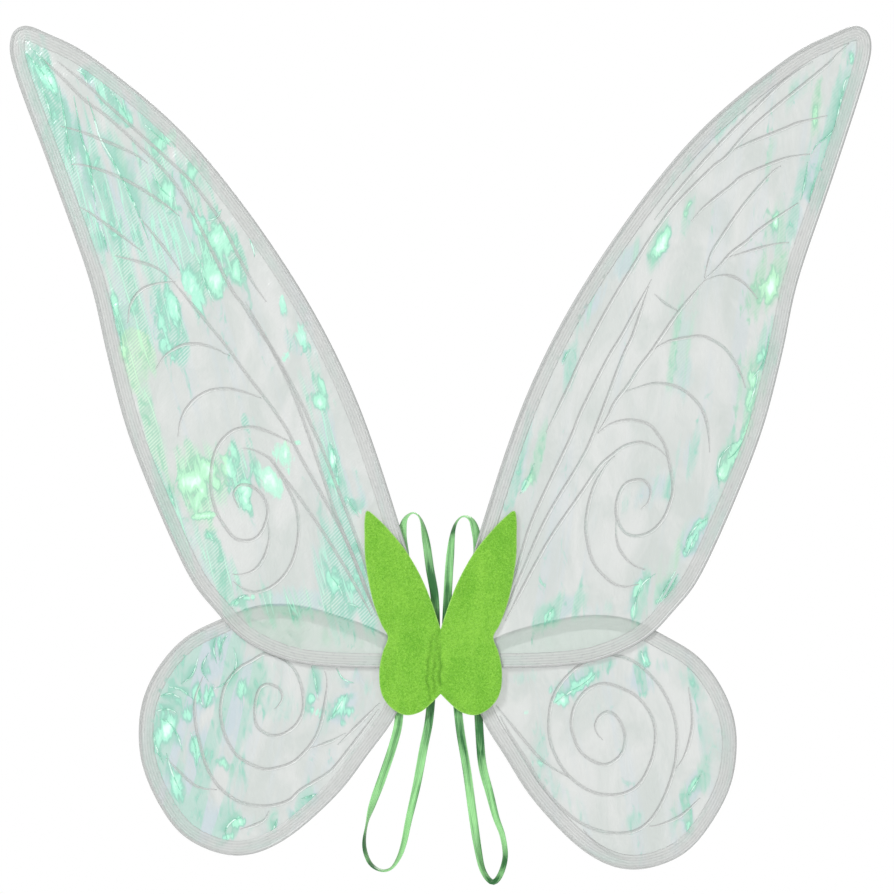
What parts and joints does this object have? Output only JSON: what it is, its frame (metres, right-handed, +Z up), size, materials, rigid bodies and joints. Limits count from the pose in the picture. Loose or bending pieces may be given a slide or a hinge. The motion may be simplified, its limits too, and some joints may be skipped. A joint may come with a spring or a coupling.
{
  "type": "fairy wings",
  "caption": "Costume fairy wings: iridescent film wings on wire loops that fold at a felt butterfly patch, with elastic shoulder straps.",
  "frame": {"origin": "centre line of the back patch's rear face, level with the middle of the wings' root", "axes": "+Z up as worn, +Y towards the wearer's back, +X to the right seen from behind the wearer"},
  "size_m": [0.6529, 0.0114, 0.6496],
  "materials": {
    "film": "iridescent, see-through",
    "hem": "folded film, stitched",
    "wire": "white-coated wire",
    "felt": "fuzzy felt",
    "felt_core": "felt",
    "tape": "woven tape",
    "thread": "sewing thread",
    "elastic": "satin elastic"
  },
  "bodies": {
    "hub": {"back_patch": "felt", "hub_core": "felt_core", "felt_centre": "felt", "binding_left": "tape", "binding_right": "tape", "strap_sewn_left": "elastic", "strap_sewn_right": "elastic", "strap_tacks": "thread"},
    "wing_left": {"upper_frame_left": "wire", "upper_hem_left": "hem", "upper_film_left": "film", "felt_lobe_left": "felt", "root_tie_left": "thread"},
    "wing_right": {"upper_frame_right": "wire", "upper_hem_right": "hem", "upper_film_right": "film", "felt_lobe_right": "felt", "root_tie_right": "thread"},
    "lower_left": {"lower_frame_left": "wire", "lower_hem_left": "hem", "lower_film_left": "film"},
    "lower_right": {"lower_frame_right": "wire", "lower_hem_right": "hem", "lower_film_right": "film"},
    "arch_left": {"strap_arch_left": "elastic"},
    "arch_right": {"strap_arch_right": "elastic"},
    "loop_left": {"strap_loop_left": "elastic"},
    "loop_right": {"strap_loop_right": "elastic"}
  },
  "joints": [
    {"name": "fold_left", "type": "hinge", "parent": "hub", "child": "wing_left", "pos_m": [-0.012, -0.0072, 0], "axis": [0, 0, 1], "range_deg": [0, 85]},
    {"name": "fold_right", "type": "hinge", "parent": "hub", "child": "wing_right", "pos_m": [0.012, -0.0072, 0], "axis": [0, 0, -1], "range_deg": [0, 85]},
    {"name": "spread_left", "type": "hinge", "parent": "wing_left", "child": "lower_left", "pos_m": [-0.018, -0.0046, -0.012], "axis": [0, -1, 0], "range_deg": [-8, 8]},
    {"name": "spread_right", "type": "hinge", "parent": "wing_right", "child": "lower_right", "pos_m": [0.018, -0.0046, -0.012], "axis": [0, 1, 0], "range_deg": [-8, 8]},
    {"name": "arch_left_swing", "type": "hinge", "parent": "hub", "child": "arch_left", "pos_m": [-0.01, -0.0026, 0.014], "axis": [-1, 0, 0], "range_deg": [0, 90], "stiffness_Nm_per_rad": 0.002},
    {"name": "arch_right_swing", "type": "hinge", "parent": "hub", "child": "arch_right", "pos_m": [0.015, -0.0026, 0.014], "axis": [-1, 0, 0], "range_deg": [0, 90], "stiffness_Nm_per_rad": 0.002},
    {"name": "loop_left_swing", "type": "hinge", "parent": "hub", "child": "loop_left", "pos_m": [-0.019, -0.0026, -0.035], "axis": [1, 0, 0], "range_deg": [0, 90]},
    {"name": "loop_right_swing", "type": "hinge", "parent": "hub", "child": "loop_right", "pos_m": [0.02, -0.0026, -0.035], "axis": [1, 0, 0], "range_deg": [0, 90]}
  ]
}
